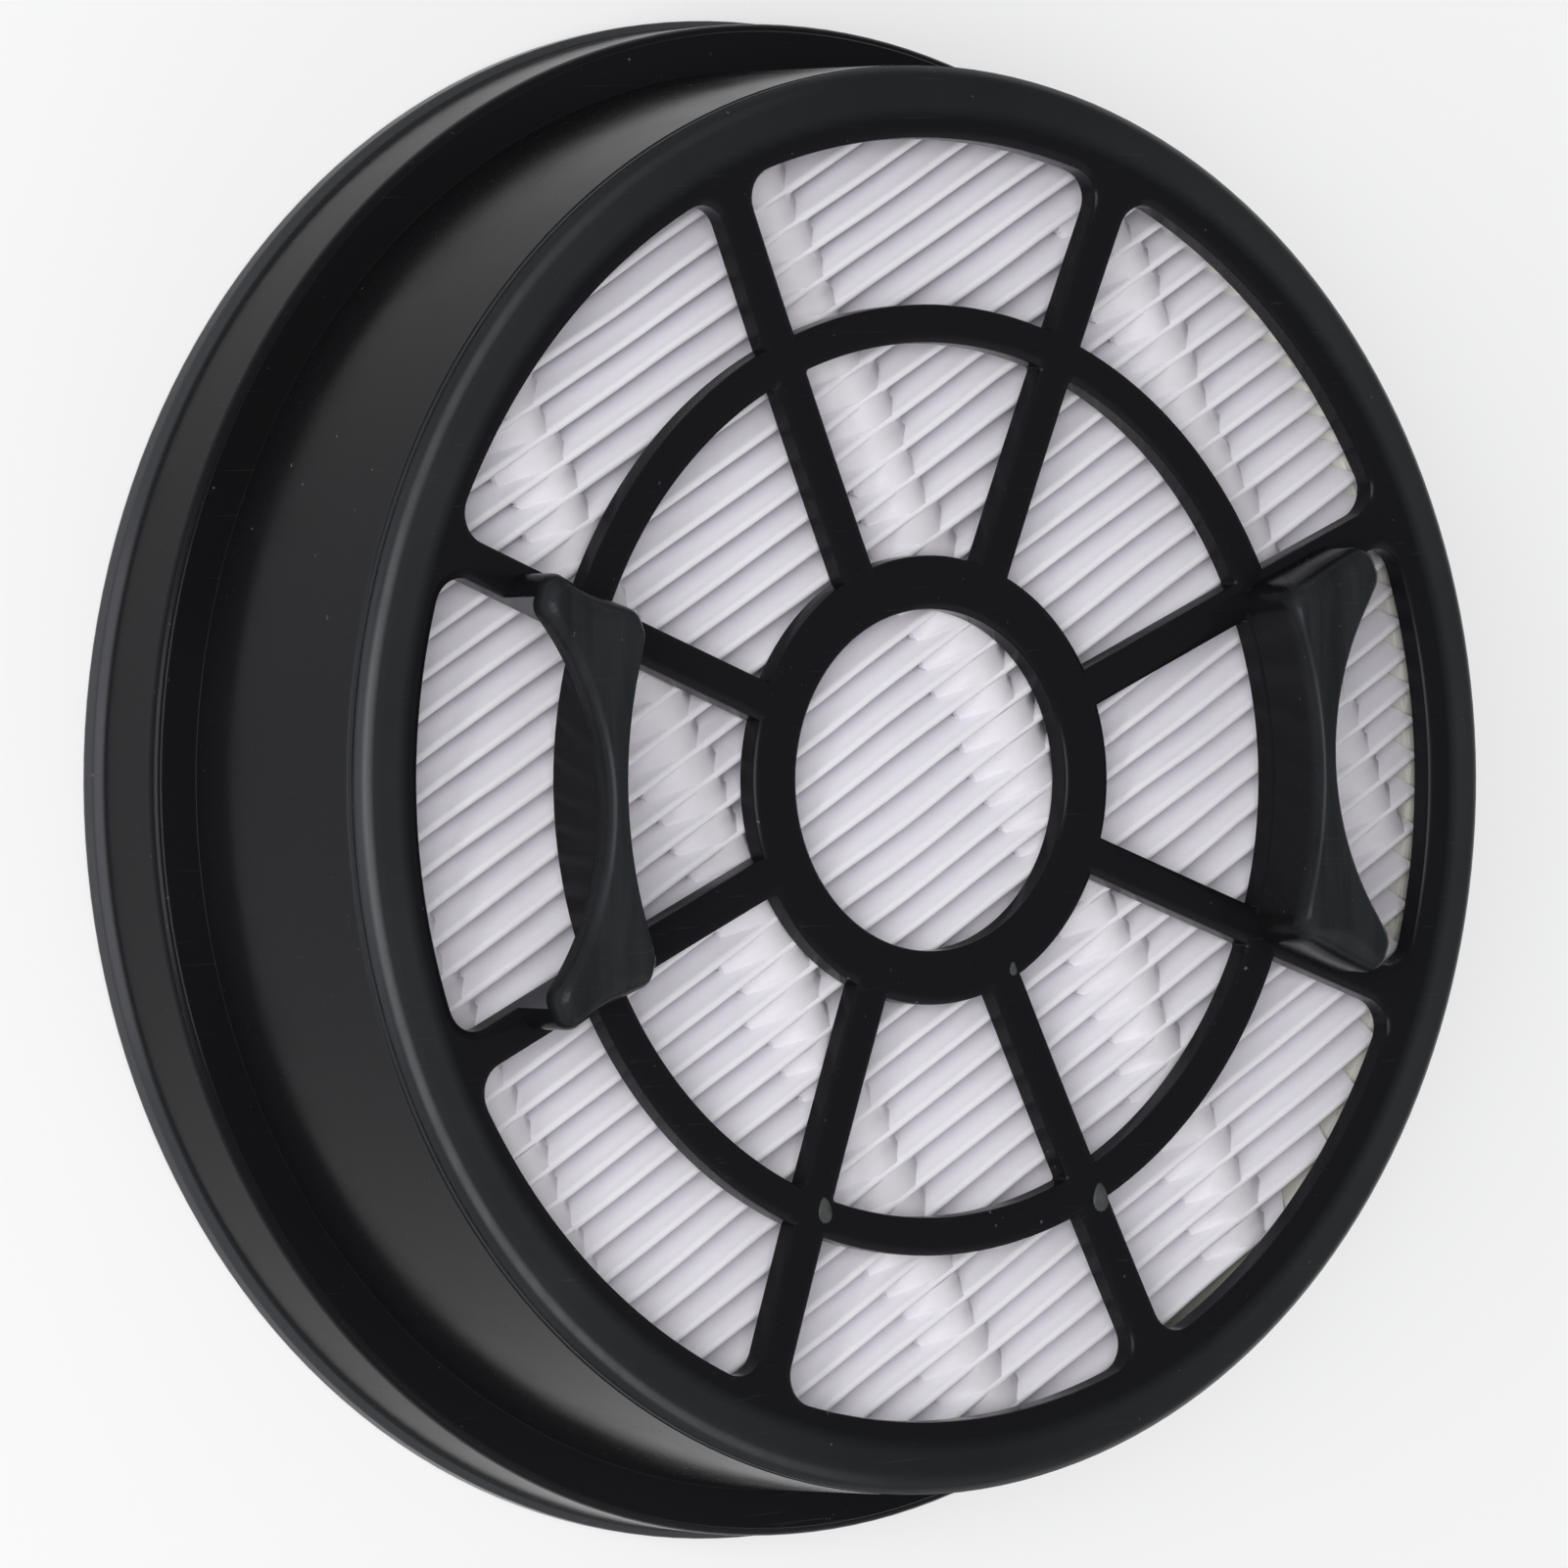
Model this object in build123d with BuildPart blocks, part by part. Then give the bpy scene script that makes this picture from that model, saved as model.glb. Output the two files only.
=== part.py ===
"""Round pleated filter for a vacuum cleaner.

A one-piece moulded frame holds a pack of folded filter paper. The frame is a stepped flange with a
rounded back lip, a drafted round body and a dished front grid with two finger grips. The filter lies
on its back lip: +Z is the axis towards the grid, and the grips lie on the X axis.
"""

import os
from math import acos, asin, atan2, cos, hypot, pi, radians, sin, sqrt, tan

from build123d import *

# Moulded frame: body and flange
body_radius = 59.3
body_draft = 0.9
body_height = 22.0
wall = 2.0
front_edge_radius = 1.25
flange_width = 4.1
flange_height = 9.8
flange_edge_radius = 1.25
rim_draft = 0.45
lip_height = 2.5
lip_overhang = 0.25
lip_crown = 0.9
lip_round = 0.4
edge_flats = 2

# Dished front grid
dish_depth = 2.46
plate = 2.05
front_ring_width = 6.1
window_corner_radius = 2.5
mid_ring_radius = 37.9
mid_ring_width = 3.2
hub_ring_radius = 16.45
hub_ring_width = 4.5
spoke_count = 8
spoke_width = 3.3

# Finger grips on the mid ring
grip_rise = 7.4
grip_plate = 2.0
grip_web = 1.65
grip_web_step = 0.1
grip_side_step = 0.8
grip_overhang = 0.25
grip_reach = 8.5
grip_waist_radius = 23.0
grip_end_radius = 1.6
grip_heel_radius = 2.0
grip_edge_flat = 0.6

# Folded paper pack and its glue
pleat_pitch = 2.68
pleat_offset = 0.35
pleat_depth = 19.0
pleat_angle = 28.5
paper = 0.45
fold_flats = 6
round_cuts = 32
crest_clearance = 0.2
glue_width = 2.0
glue_height = 18.0
bond_clearance = 0.05
bead_spacing = 30.8
bead_offset = -3.4
bead_rows = 4
bead_length = 1.8
bead_depth = 5.0
bead_sink = 0.4

# Share of a short edge that a rounded corner may take
corner_share = 0.46


def dish(radius):
    """Height of the dished front face at a radius."""
    return face_level + dish_sphere - sqrt(dish_sphere**2 - radius**2)


def eased(before, corner, after, radius, flats):
    """Points that round a corner of a profile with a number of flats."""
    tip = Vector(*corner)
    start = tip + (Vector(*before) - tip).normalized() * radius
    end = tip + (Vector(*after) - tip).normalized() * radius
    steps = [i / flats for i in range(flats + 1)]
    return [start * (1 - t) ** 2 + tip * (2 * t * (1 - t)) + end * t**2 for t in steps]


def sector(inset):
    """Wedge between the two spokes beside +X, with its sides set in from their centre lines."""
    apex = inset / sin(radians(half_sector))
    far_x = apex + 2 * body_radius * cos(radians(half_sector))
    far_y = 2 * body_radius * sin(radians(half_sector))
    return Polygon((apex, 0), (far_x, -far_y), (far_x, far_y), align=None)


def fold(across, level, rise):
    """Points round the outside of one sharp fold; a rise of -1 turns it downwards."""
    turns = [pleat_lean + (pi - 2 * pleat_lean) * i / fold_flats for i in range(fold_flats + 1)]
    return [(across - paper * cos(turn), level + rise * paper * sin(turn)) for turn in turns]


def pleat_outline():
    """Section of the folded paper: its front side from the first leg to the last, and its back side."""
    half = pleat_pitch / 2
    foot = half - paper / cos(pleat_lean)
    front = [(crests[0] - half, valley_level)]
    back = [(crests[0] - foot, valley_level)]
    for across in crests:
        front += fold(across, crest_level, 1) + [(across + half, valley_level)]
        back += [(across, crest_level)] + fold(across + half, valley_level, -1)
    back = back[: -fold_flats - 1] + [(crests[-1] + foot, valley_level)]
    return front + back[::-1]


def valley_half_width(depth):
    """Half the free width between two legs at a depth under the crests, less the room for the bond."""
    return (pleat_depth - paper - depth) * tan(pleat_lean) - bond_clearance


def bead_planes(valleys, level):
    """Upright planes across the pleats, one at the end of each glue bead, where the rows cross the valleys."""
    rows = [bead_offset + (row - (bead_rows - 1) / 2) * bead_spacing for row in range(bead_rows)]
    crossings = [(along, across) for along in rows for across in valleys]
    return [
        Plane(
            origin=pleat_plane.from_local_coords((along - bead_length / 2, across, level)),
            x_dir=pleat_plane.y_dir,
            z_dir=pleat_plane.x_dir,
        )
        for along, across in crossings
        if hypot(abs(along) + bead_length / 2, abs(across) + pleat_pitch / 2) < media_inradius
    ]


# Frame radii and levels that follow from the sizes above
body_foot = body_radius + body_draft
bore_radius = body_radius - wall
rim_top = body_foot + flange_width
rim_foot = rim_top + rim_draft
lip_radius = rim_foot + lip_overhang
front_level = flange_height + body_height
face_level = front_level - dish_depth
dish_sphere = (body_radius**2 + dish_depth**2) / (2 * dish_depth)
window_radius = body_radius - front_ring_width
half_sector = 180 / spoke_count
mid_inner = mid_ring_radius - mid_ring_width / 2
mid_outer = mid_ring_radius + mid_ring_width / 2
hub_inner = hub_ring_radius - hub_ring_width / 2
hub_outer = hub_ring_radius + hub_ring_width / 2
window_round = min(window_corner_radius, corner_share * (window_radius - mid_outer))

# Grip radii, and the width left at its ends between the side wall and the waist
web_inner = mid_inner + grip_web_step
web_outer = web_inner + grip_web
grip_waist = web_outer + grip_overhang
grip_end = grip_waist + grip_reach
waist_centre = grip_waist + grip_waist_radius
side_turn = radians(half_sector) + asin((spoke_width / 2 - grip_side_step) / grip_end)
waist_turn = acos((grip_end**2 + waist_centre**2 - grip_waist_radius**2) / (2 * grip_end * waist_centre))
end_round = min(grip_end_radius, corner_share * grip_end * (side_turn - waist_turn))

# Pack radii and levels
media_radius = bore_radius - glue_width
media_inradius = media_radius * cos(pi / round_cuts)
crest_top = face_level - plate - crest_clearance
pack_back = crest_top - pleat_depth
crest_level = crest_top - paper
valley_level = pack_back + paper
leg_height = crest_level - valley_level
pleat_lean = acos(paper / hypot(pleat_pitch / 2, leg_height)) - atan2(leg_height, pleat_pitch / 2)
pleat_count = 1 + 2 * int((media_inradius - pleat_offset - paper) / pleat_pitch)
crests = [pleat_offset + (k - (pleat_count - 1) / 2) * pleat_pitch for k in range(pleat_count)]
bead_top = valley_half_width(bead_sink)
bead_tip = valley_half_width(bead_sink + bead_depth)
pleat_plane = Plane.XY.rotated((0, 0, pleat_angle))

# One finger grip: a raised bow-tie plate on a curved web and two end walls
with BuildPart() as grip:
    with BuildSketch(Plane.XY.offset(face_level)) as plan:
        sector(grip_side_step - spoke_width / 2)
        Circle(grip_end, mode=Mode.INTERSECT)
        Circle(web_inner, mode=Mode.SUBTRACT)
        with Locations((waist_centre, 0)):
            Circle(grip_waist_radius, mode=Mode.SUBTRACT)
        fillet(plan.vertices().filter_by(lambda v: hypot(v.X, v.Y) > grip_waist), end_round)
        fillet(plan.vertices().filter_by(lambda v: hypot(v.X, v.Y) < web_outer), grip_heel_radius)
    extrude(amount=grip_rise)
    chamfer(grip.faces().sort_by(Axis.Z)[-1].edges(), grip_edge_flat)
    with BuildSketch(Plane.XY.offset(face_level)) as recess:
        sector(spoke_width / 2)
        Circle(web_outer, mode=Mode.SUBTRACT)
    extrude(amount=grip_rise - grip_plate, mode=Mode.SUBTRACT)

# Moulded frame in one piece
front_corner = (body_radius, front_level)
foot_corner = (body_foot, flange_height)
rim_corner = (rim_top, flange_height)
rim_base = (rim_foot, lip_height)
face_end = (body_radius - front_edge_radius, dish(body_radius - front_edge_radius))
front_edge = eased(face_end, front_corner, foot_corner, front_edge_radius, edge_flats)
rim_edge = eased(foot_corner, rim_corner, rim_base, flange_edge_radius, edge_flats)
plate_back = (bore_radius, dish(bore_radius) - plate)

with BuildPart() as frame:
    with BuildSketch(Plane.XZ):
        with BuildLine():
            ThreePointArc((0, face_level), (body_radius / 2, dish(body_radius / 2)), face_end)
            Polyline(
                face_end,
                *front_edge[1:],
                foot_corner,
                *rim_edge,
                rim_base,
                (lip_radius, lip_crown),
                (lip_radius - lip_round, 0),
                (rim_top - wall, 0),
                (rim_top - wall, flange_height - wall),
                (bore_radius, flange_height - wall),
                plate_back,
            )
            ThreePointArc(
                plate_back,
                (body_radius / 2, dish(body_radius / 2) - plate),
                (0, face_level - plate),
            )
            Line((0, face_level - plate), (0, face_level))
        make_face()
    revolve(axis=Axis.Z)

    # Outer windows, inner windows and the hub hole between the rings and spokes
    with BuildSketch(Plane.XY.offset(face_level - 2 * plate)) as windows:
        with PolarLocations(0, 1, start_angle=half_sector):
            Circle(window_radius)
        Circle(mid_outer, mode=Mode.SUBTRACT)
        Circle(mid_inner)
        Circle(hub_outer, mode=Mode.SUBTRACT)
        with PolarLocations(0, spoke_count, start_angle=half_sector):
            Rectangle(body_radius, spoke_width, align=(Align.MIN, Align.CENTER), mode=Mode.SUBTRACT)
        Circle(hub_inner)
        middle = (mid_outer + window_radius) / 2
        fillet(windows.vertices().filter_by(lambda v: hypot(v.X, v.Y) > middle), window_round)
    extrude(amount=2 * plate + dish_depth, mode=Mode.SUBTRACT)

    # The mid ring narrows to the web behind each grip
    with BuildSketch(Plane.XY.offset(face_level - 2 * plate)):
        with PolarLocations(0, 2):
            sector(spoke_width / 2)
        Circle((mid_outer + window_radius) / 2, mode=Mode.INTERSECT)
        Circle(web_outer, mode=Mode.SUBTRACT)
    extrude(amount=2 * plate + dish_depth, mode=Mode.SUBTRACT)

    with PolarLocations(0, 2):
        add(grip.part)

# Folded paper: sharp folds joined by legs that lean half a pitch
with BuildPart() as pleated_media:
    with BuildSketch(Plane(origin=(0, 0, 0), x_dir=pleat_plane.y_dir, z_dir=pleat_plane.x_dir)):
        with BuildLine():
            Polyline(*pleat_outline(), close=True)
        make_face()
    extrude(amount=media_radius, both=True)
    with BuildSketch():
        RegularPolygon(media_radius, round_cuts)
    extrude(amount=front_level, mode=Mode.INTERSECT)

# Ring of glue between the ends of the pleats and the bore
with BuildPart() as pack_adhesive:
    with BuildSketch(Plane.XY.offset(pack_back)):
        Circle(bore_radius - bond_clearance)
        Circle(media_radius + bond_clearance, mode=Mode.SUBTRACT)
    extrude(amount=glue_height)

# Glue beads that hold the pleats apart: wedges in rows across the valleys on both faces
with BuildPart() as front_separator_beads:
    with BuildSketch(*bead_planes([across + pleat_pitch / 2 for across in crests[:-1]], crest_top - bead_sink)):
        Polygon((-bead_top, 0), (-bead_tip, -bead_depth), (bead_tip, -bead_depth), (bead_top, 0), align=None)
    extrude(amount=bead_length)

with BuildPart() as back_separator_beads:
    with BuildSketch(*bead_planes(crests, pack_back + bead_sink)):
        Polygon((-bead_top, 0), (bead_top, 0), (bead_tip, bead_depth), (-bead_tip, bead_depth), align=None)
    extrude(amount=bead_length)

os.makedirs("parts", exist_ok=True)
for name, piece in (
    ("frame", frame),
    ("pleated_media", pleated_media),
    ("pack_adhesive", pack_adhesive),
    ("front_separator_beads", front_separator_beads),
    ("back_separator_beads", back_separator_beads),
):
    piece.part.label = name
    export_step(piece.part, f"parts/{name}.step")
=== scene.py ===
"""Dresses a round pleated vacuum cleaner filter: black moulded frame, folded paper pack and its glue."""

import math
import random

import bmesh
import bpy
from mathutils import Matrix, Vector, noise


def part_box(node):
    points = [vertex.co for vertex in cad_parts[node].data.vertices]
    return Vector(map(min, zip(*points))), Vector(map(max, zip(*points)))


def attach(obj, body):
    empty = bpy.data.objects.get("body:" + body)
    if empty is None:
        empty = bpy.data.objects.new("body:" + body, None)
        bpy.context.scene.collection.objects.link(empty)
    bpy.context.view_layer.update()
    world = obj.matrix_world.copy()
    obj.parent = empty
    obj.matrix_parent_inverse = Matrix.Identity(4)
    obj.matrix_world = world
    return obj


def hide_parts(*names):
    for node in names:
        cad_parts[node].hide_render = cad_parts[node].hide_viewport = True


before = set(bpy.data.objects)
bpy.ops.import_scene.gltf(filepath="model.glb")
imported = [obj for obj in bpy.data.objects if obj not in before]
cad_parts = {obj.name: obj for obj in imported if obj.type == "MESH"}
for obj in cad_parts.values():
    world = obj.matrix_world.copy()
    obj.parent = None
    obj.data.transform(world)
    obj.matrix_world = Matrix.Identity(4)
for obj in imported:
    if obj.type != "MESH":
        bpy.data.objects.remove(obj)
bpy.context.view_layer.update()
FRAME_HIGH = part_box("frame")[1]
PACK_LOW, PACK_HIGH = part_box("pleated_media")
GLUE_LOW, GLUE_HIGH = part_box("pack_adhesive")

bl_info = {
    "name": "Round Pleated Filter",
    "version": (1, 0, 0),
    "blender": (4, 5, 0),
    "location": "View3D > Sidebar > Filter",
    "description": "Models a pleated vacuum cleaner filter in a black moulded frame",
    "category": "Object",
}

MM = 0.001

# Film with a painted sheen, lip wear with a painted reflection and a painted highlight line of the front
# edge, on the plastic, in mm: where each begins and where it is full
# Greyish film with a painted sheen: on the front ring's outer zone, stronger to the left and right, and on
# the grip tops
RING_FILM_AND_SHEEN_CENTRE = 0.4
RING_FILM_AND_SHEEN_RADII = (54.7, 55.9)
RING_FILM_AND_SHEEN_HEIGHTS = (29.8, 30.8)
RING_FILM_AND_SHEEN_ASIDE = (5, 45)
GRIP_FILM_AND_SHEEN_HEIGHTS = (34.8, 36.4)
# Lighter band on the lip's outer bevel: partly wear, partly a painted reflection
LIP_WEAR_AND_SHEEN_RADII = (64.2, 64.5)
LIP_WEAR_AND_SHEEN_HEIGHTS = (2.6, 2.3)
# Painted highlight line along the front edge's bevel, strongest on the left and weaker towards the top
EDGE_HIGHLIGHT_INSIDE = (57.75, 58.1)
EDGE_HIGHLIGHT_OUTSIDE = (58.65, 58.4)
EDGE_HIGHLIGHT_HEIGHTS = (29.8, 30.2)
EDGE_HIGHLIGHT_LEFT = (-45, -8)
EDGE_HIGHLIGHT_TOP = (12, 48)
SCRATCH_SHARE = 0.12

# Glue beads: flat share of the top, hollow across it, then drop and stretch of the left and right ends
BEAD_FLAT = 0.34
BEAD_HOLLOW = 0.6
BEAD_DROPS = (0.68, 0.7)
BEAD_STRETCHES = (1.75, 1.0)
BEAD_WAVER = 0.12 * MM

# Share of plain white in the floor as the camera sees it
FLOOR_WHITE = 0.55

# Lamps: name, place, width and depth in m, power in W
LAMPS = (
    ("soft_lamp", (-0.70, 0.0, 0.93), 0.6, 0.6, 7.4),
    ("edge_lamp", (-1.30, 0.0, 0.78), 1.6, 0.18, 6.6),
    ("fill_lamp", (0.45, -1.10, 0.80), 1.2, 1.2, 3.2),
)


def length(name, description, default):
    """Length property in metres, given in millimetres."""
    return bpy.props.FloatProperty(name=name, description=description, default=default * MM, unit="LENGTH")


def angle(name, description, default):
    """Angle property, given in degrees."""
    return bpy.props.FloatProperty(
        name=name, description=description, default=math.radians(default), subtype="ANGLE"
    )


def colour(name, description, default):
    """Linear colour property."""
    return bpy.props.FloatVectorProperty(
        name=name, description=description, default=default, size=3, subtype="COLOR", min=0, max=1
    )


class MouldingSizes(bpy.types.PropertyGroup):
    """Sizes of the black moulded frame"""

    body_radius: length("Body radius", "Radius of the body at the front edge", 59.3)
    body_draft: length("Body draft", "Growth of the body radius down to the flange", 0.9)
    wall: length("Wall", "Wall of body and flange", 2.0)
    front_edge: length("Front edge", "Rounding of the front edge", 2.0)
    bevel_width: length("Bevel width", "Width of the bevel at the front edge", 0.9)
    bevel_depth: length("Bevel depth", "Depth of the bevel at the front edge", 1.3)
    seam: length("Seam", "Height of the fine seams left by the mould", 0.1)
    seam_radius: length("Seam radius", "Radius of the seam on the flange", 63.5)
    foot_round: length("Foot round", "Rounding where body and flange meet", 0.08)
    flange_height: length("Flange height", "Height of the seal face over the back lip", 9.8)
    flange_edge: length("Flange edge", "Rounding of the flange's front edge", 0.7)
    rim_draft: length("Rim draft", "Growth of the rim radius down to the lip", 0.05)
    lip_height: length("Lip height", "Height of the back lip", 2.5)
    lip_overhang: length("Lip overhang", "How far the bevelled lip stands out from the rim", 0.75)
    lip_round: length("Lip round", "Rounding of the lip's back edge", 0.6)
    dish_depth: length("Dish depth", "Depth of the dished front face", 2.46)
    front_level: length("Front level", "Height of the front edge over the back lip", 31.8)
    plate: length("Plate", "Thickness of the grid", 2.05)
    window_radius: length("Window radius", "Outer radius of the windows", 53.2)
    window_corner: length("Window corner", "Rounding of the windows' outer corners", 2.5)
    mid_inner: length("Mid ring inner", "Inner radius of the mid ring", 36.3)
    mid_outer: length("Mid ring outer", "Outer radius of the mid ring", 39.5)
    hub_inner: length("Hub inner", "Inner radius of the hub ring", 14.2)
    hub_outer: length("Hub outer", "Outer radius of the hub ring", 18.7)
    spoke_width: length("Spoke width", "Width of a spoke", 3.3)
    grid_edge: length("Grid edge", "Width of the rounded shoulders along the window edges", 1.1)
    grid_drop: length("Grid drop", "Depth of the rounded shoulders along the window edges", 0.45)
    grip_plate: length("Grip plate", "Thickness of a grip's top plate", 2.0)
    web_inner: length("Web inner", "Inner radius of a grip's web", 36.4)
    web_outer: length("Web outer", "Outer radius of a grip's web", 38.05)
    grip_side_step: length("Grip side step", "Step from the spoke's side to the grip's end wall", 0.8)
    grip_waist: length("Grip waist", "Radius of the grip plate's outer edge at its middle", 38.3)
    grip_end: length("Grip end", "Radius at the tips of the grip", 46.8)
    grip_waist_round: length("Waist round", "Radius of the hollow outer edge of the grip", 23.0)
    grip_tip_round: length("Tip round", "Rounding of the grip's tips", 1.55)
    grip_heel_round: length("Heel round", "Rounding of the grip's inner corners", 2.0)


class PackSizes(bpy.types.PropertyGroup):
    """Sizes of the folded paper pack and its glue"""

    pitch: length("Pitch", "Distance from pleat to pleat", 2.68)
    offset: length("Offset", "Shift of the middle pleat from the axis", 0.35)
    slant: angle("Slant", "Turn of the pleats from the line through the grips", 28.5)
    paper: length("Paper", "Thickness of the paper", 0.38)
    bend: length("Bend", "Radius of the folds at the middle of the paper", 0.20)
    shoulder: angle("Shoulder", "Slope of a pleat's shoulders from upright", 18)
    shoulder_depth: length("Shoulder depth", "Depth of a pleat's shoulders", 2.8)
    sway: length("Sway", "Sideways wander of the pleats between the glue beads", 0.30)
    bead_spacing: length("Bead spacing", "Distance between the rows of glue beads", 30.8)
    bead_offset: length("Bead offset", "Shift of the bead rows along the pleats", -3.4)
    bead_half_length: length("Bead half length", "Half length of a bead along the pleat", 1.9)
    bead_depth: length("Bead depth", "Depth of a bead in its valley", 2.6)


class FilterFinish(bpy.types.PropertyGroup):
    """Colours of the finishes"""

    plastic: colour("Plastic", "Black moulded plastic", (0.0075, 0.0077, 0.0083))
    dust: colour("Dust", "Dust and scratches on the plastic", (0.16, 0.16, 0.165))
    # Colour of a greyish film that also paints a sheen on the front ring's outer zone and the grip tops
    film_and_sheen: colour("Film", "Greyish film on handled places of the plastic", (0.027, 0.0295, 0.032))
    # Colour of the lip band: partly wear, partly a painted reflection
    lip_wear_and_sheen: colour("Worn", "Worn plastic on the lip", (0.045, 0.046, 0.050))
    # Colour of the painted highlight line along the front edge, not real scuffing
    edge: colour("Edge", "Scuffed line of the front edge", (0.084, 0.087, 0.087))
    gate: colour("Gate", "Torn plastic at the gate marks", (0.075, 0.078, 0.078))
    paper: colour("Paper", "Filter paper", (0.88, 0.86, 0.905))
    glue: colour("Glue", "Glue beads", (0.755, 0.728, 0.775))
    seal_glue: colour("Seal glue", "Glue between pack and frame", (0.78, 0.77, 0.70))
    floor: colour("Floor", "Plain pale floor", (0.96, 0.96, 0.96))


SIZE_GROUPS = {"moulding": MouldingSizes, "pack": PackSizes, "finish": FilterFinish}
SPOKES = 8
HALF_SECTOR = math.pi / SPOKES
PLEATS = 41
BEAD_ROWS = 4


def settings():
    """The three groups of settings on the scene."""
    scene = bpy.context.scene
    return scene.filter_moulding, scene.filter_pack, scene.filter_finish


# Mesh helpers


def deselect():
    """Nothing selected, so an operator acts only on the new piece."""
    if bpy.context.mode != "OBJECT":
        bpy.ops.object.mode_set(mode="OBJECT")
    bpy.ops.object.select_all(action="DESELECT")


def activate(piece):
    """Only this piece selected and active."""
    deselect()
    piece.select_set(True)
    bpy.context.view_layer.objects.active = piece


def name_piece(name):
    """Names the active object and its mesh."""
    piece = bpy.context.object
    piece.name = name
    piece.data.name = name
    return piece


def place_ring(mesh, ring, before=None):
    """Moves the selected outline onto a ring of points; the one extruded from it lies on the ring before."""
    shape = bmesh.from_edit_mesh(mesh)
    shape.verts.ensure_lookup_table()
    if before is None:
        corners = [v for v in shape.verts if v.select]
    else:
        cap = next(f for f in shape.faces if f.select)
        corners = [loop.vert for loop in cap.loops]
        first = min(range(len(corners)), key=lambda i: (corners[i].co - Vector(before[0])).length_squared)
        corners = corners[first:] + corners[:first]
        ahead = (corners[1].co - Vector(before[1])).length_squared
        behind = (corners[-1].co - Vector(before[1])).length_squared
        if behind < ahead:
            corners = [corners[0]] + corners[:0:-1]
    for corner, point in zip(corners, ring):
        corner.co = point
    bmesh.update_edit_mesh(mesh)


def loft(name, rings):
    """Closed solid through rings of equal count: the first is filled and each next one extruded from it."""
    deselect()
    bpy.ops.mesh.primitive_circle_add(vertices=len(rings[0]), radius=MM, fill_type="NGON")
    piece = name_piece(name)
    bpy.ops.object.mode_set(mode="EDIT")
    bpy.ops.mesh.select_all(action="SELECT")
    place_ring(piece.data, rings[0])
    for before, ring in zip(rings, rings[1:]):
        bpy.ops.mesh.extrude_region_move()
        place_ring(piece.data, ring, before)
    bpy.ops.mesh.select_all(action="SELECT")
    bpy.ops.mesh.normals_make_consistent(inside=False)
    bpy.ops.object.mode_set(mode="OBJECT")
    return piece


def spin_profile(name, outline, steps):
    """Solid of revolution from a closed outline of radius and height."""
    deselect()
    bpy.ops.mesh.primitive_circle_add(vertices=len(outline), radius=MM, fill_type="NOTHING")
    piece = name_piece(name)
    bpy.ops.object.mode_set(mode="EDIT")
    bpy.ops.mesh.select_all(action="SELECT")
    place_ring(piece.data, [(radius, 0, height) for radius, height in outline])
    bpy.ops.mesh.spin(steps=steps, angle=2 * math.pi, center=(0, 0, 0), axis=(0, 0, 1))
    bpy.ops.mesh.select_all(action="SELECT")
    bpy.ops.mesh.remove_doubles(threshold=0.001 * MM)
    bpy.ops.mesh.normals_make_consistent(inside=False)
    bpy.ops.object.mode_set(mode="OBJECT")
    return piece


def join(pieces, name):
    """One object from several."""
    deselect()
    for piece in pieces:
        piece.select_set(True)
    bpy.context.view_layer.objects.active = pieces[0]
    bpy.ops.object.join()
    return name_piece(name)


def combine(piece, tool, operation):
    """Boolean of the piece with a tool, which is then deleted."""
    activate(piece)
    modifier = piece.modifiers.new(operation.title(), "BOOLEAN")
    modifier.object = tool
    modifier.operation = operation
    modifier.solver = "EXACT"
    bpy.ops.object.modifier_apply(modifier=modifier.name)
    bpy.data.objects.remove(tool)


def smooth(piece, limit):
    """Smooth shading up to an angle, with large faces kept true beside small roundings."""
    activate(piece)
    bpy.ops.object.shade_smooth_by_angle(angle=limit)
    modifier = piece.modifiers.new("Weighted Normal", "WEIGHTED_NORMAL")
    modifier.keep_sharp = True
    modifier.weight = 100
    bpy.ops.object.modifier_apply(modifier=modifier.name)


def finish_piece(piece, material, slot, *nodes):
    """Gives a finished piece its material, its body and the nodes that it stands for; the slot is not used.
    """
    piece.data.materials.clear()
    piece.data.materials.append(material)
    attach(piece, "root")
    if nodes:
        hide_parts(*nodes)


# Outlines


def rounded(corners, hold=0.15 * MM, step=math.radians(15)):
    """Points along a polyline of (x, y, radius) whose inner corners are rounded, with holding points."""
    points = [Vector(corners[0][:2])]
    for before, corner, after in zip(corners, corners[1:], corners[2:]):
        tip = Vector(corner[:2])
        back = (Vector(before[:2]) - tip).normalized()
        ahead = (Vector(after[:2]) - tip).normalized()
        half = back.angle(ahead) / 2
        reach = corner[2] / math.tan(half)
        if corner[2] == 0:
            points.append(tip)
            continue
        centre = tip + (back + ahead).normalized() * (corner[2] / math.sin(half))
        count = max(3, round((math.pi - 2 * half) / step))
        start = tip + back * reach - centre
        turn = start.angle_signed(tip + ahead * reach - centre)
        points.append(tip + back * (reach + hold))
        for i in range(count + 1):
            points.append(centre + Matrix.Rotation(-turn * i / count, 2) @ start)
        points.append(tip + ahead * (reach + hold))
    points.append(Vector(corners[-1][:2]))
    return [tuple(point) for point in points]


def arc(centre, start, end, count):
    """Points on the short arc about a centre from one point to another, ends included."""
    middle = Vector(centre)
    first = Vector(start) - middle
    turn = first.angle_signed(Vector(end) - middle)
    return [middle + Matrix.Rotation(-turn * i / count, 2) @ first for i in range(count + 1)]


def beside_spoke(along, inset):
    """Point at a distance along the spoke beside +X and set in from its centre line."""
    spoke = Vector((math.cos(HALF_SECTOR), math.sin(HALF_SECTOR)))
    inwards = Vector((spoke.y, -spoke.x))
    return spoke * along + inwards * inset


def mirrored(half):
    """Closed outline from its upper half, whose ends lie on the X axis."""
    return half + [Vector((point.x, -point.y)) for point in reversed(half[1:-1])]


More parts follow.
